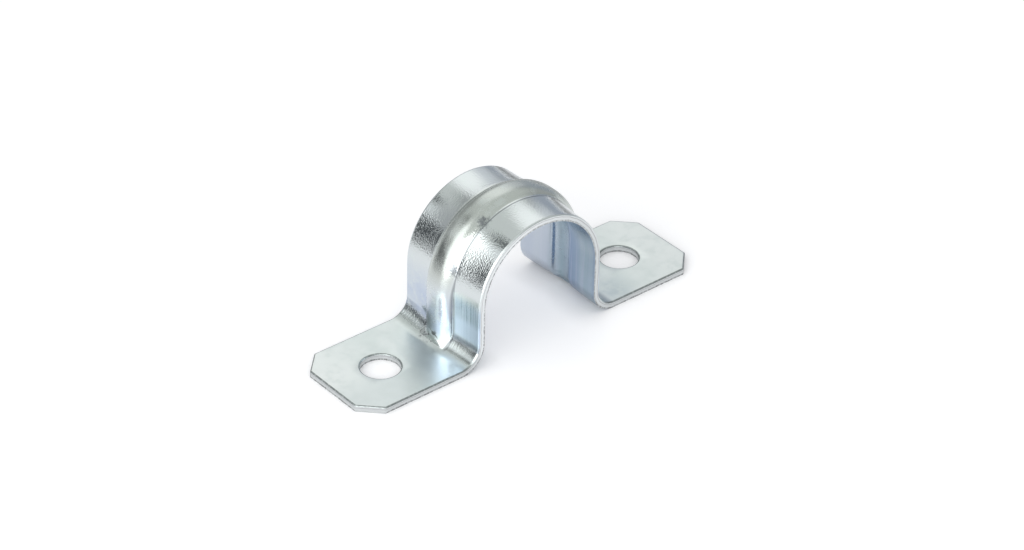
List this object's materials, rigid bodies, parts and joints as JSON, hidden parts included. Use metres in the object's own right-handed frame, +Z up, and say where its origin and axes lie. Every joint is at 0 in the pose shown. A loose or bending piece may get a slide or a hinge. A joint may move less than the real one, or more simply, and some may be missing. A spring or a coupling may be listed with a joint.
{
  "type": "conduit strap",
  "caption": "Two-hole strap of bent sheet steel: a half-round hoop with a stamped bead between two flat, corner-cut feet, each with a screw hole.",
  "frame": {"origin": "midway between the two feet, on the plane that their undersides rest on", "axes": "+X along the strap from foot to foot, +Y along the conduit, +Z up from the mounting surface to the crown"},
  "size_m": [0.0546, 0.0146, 0.0195],
  "materials": {
    "zinc_plated_steel": "bright zinc plate with a faint blue cast"
  },
  "bodies": {
    "root": {"strap": "zinc_plated_steel"}
  },
  "joints": []
}
